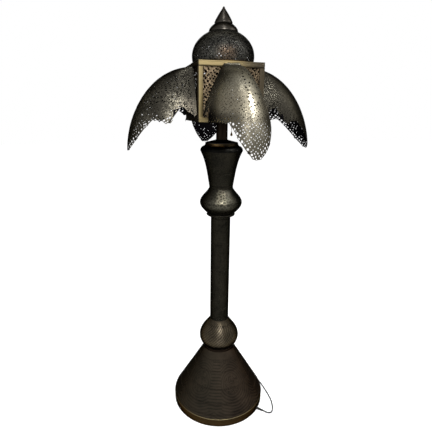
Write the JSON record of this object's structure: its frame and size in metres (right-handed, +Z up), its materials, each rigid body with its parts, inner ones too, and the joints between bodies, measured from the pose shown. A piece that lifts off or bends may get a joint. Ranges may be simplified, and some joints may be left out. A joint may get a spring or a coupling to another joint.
{
  "type": "lantern floor lamp",
  "caption": "Pierced brass floor lamp: a square lantern with hooded leaf shades and a dome, on a turned and engraved stem over a conical base, with a pull switch and a mains cord.",
  "frame": {"origin": "on the floor, on the axis of the stem", "axes": "+Z up; the front leaf shade faces -Y and the right one +X, so the lantern's sides lie along the axes"},
  "size_m": [0.7472, 0.7472, 1.7005],
  "materials": {
    "felt": "matt",
    "band_brass": "aged, brushed",
    "engraved_brass": "dark patina, engraved, satin",
    "copper_brass": "dark reddish patina, satin",
    "plain_brass": "aged, satin",
    "dark_brass": "dark patina, polished",
    "gold_brass": "brushed",
    "panel_brass": "aged, pierced, satin",
    "leaf_brass": "grey-gold patina, engraved, satin",
    "iron": "rough",
    "steel": "zinc plated",
    "black_rubber": "matt",
    "cord_sheath": "satin",
    "plug_metal": "plated",
    "bakelite": "gloss",
    "opal_glass": "opal",
    "cap_metal": "satin"
  },
  "bodies": {
    "lamp": {"felt_ring": "felt", "foot_band": "band_brass", "base_cone": "engraved_brass", "weight_plate": "iron", "cord_grommet": "black_rubber", "strain_relief": "black_rubber", "inner_lead": "cord_sheath", "cord_lead": "cord_sheath", "cord_coil": "cord_sheath", "cord_tail": "cord_sheath", "plug_body": "cord_sheath", "plug_pins": "plug_metal", "centre_rod": "steel", "rod_nuts": "steel", "rod_washers": "steel", "lower_collar": "copper_brass", "lower_ball": "engraved_brass", "centring_discs": "plain_brass", "column_tube": "engraved_brass", "knop_ring": "engraved_brass", "upper_knop": "engraved_brass", "vase": "engraved_brass", "vase_shoulder": "engraved_brass", "vase_band": "band_brass", "vase_cap": "dark_brass", "neck_tube": "copper_brass", "lantern_base": "plain_brass", "low_rim": "gold_brass", "corner_posts": "gold_brass", "panel_front": "panel_brass", "panel_right": "panel_brass", "panel_back": "panel_brass", "panel_left": "panel_brass", "top_rim": "gold_brass", "top_plate": "plain_brass", "leaf_brackets": "plain_brass", "leaf_front": "leaf_brass", "leaf_right": "leaf_brass", "leaf_back": "leaf_brass", "leaf_left": "leaf_brass", "holder_cup": "plain_brass", "lampholder": "bakelite", "holder_shell": "plain_brass", "bulb_cap": "cap_metal", "bulb_glass": "opal_glass", "chain_eyelet": "plain_brass"},
    "lid": {"dome_flange": "plain_brass", "dome": "dark_brass", "dome_cap": "dark_brass", "finial": "dark_brass"},
    "pull": {"pull_chain": "plain_brass", "pull_bell": "plain_brass"}
  },
  "joints": [
    {"name": "lid_lift", "type": "slide", "parent": "lamp", "child": "lid", "axis": [0, 0, 1], "range_m": [0, 0.04]},
    {"name": "chain_pull", "type": "slide", "parent": "lamp", "child": "pull", "axis": [0, 0, -1], "range_m": [0, 0.008], "stiffness_N_per_m": 200, "springref_m": -0.005}
  ]
}
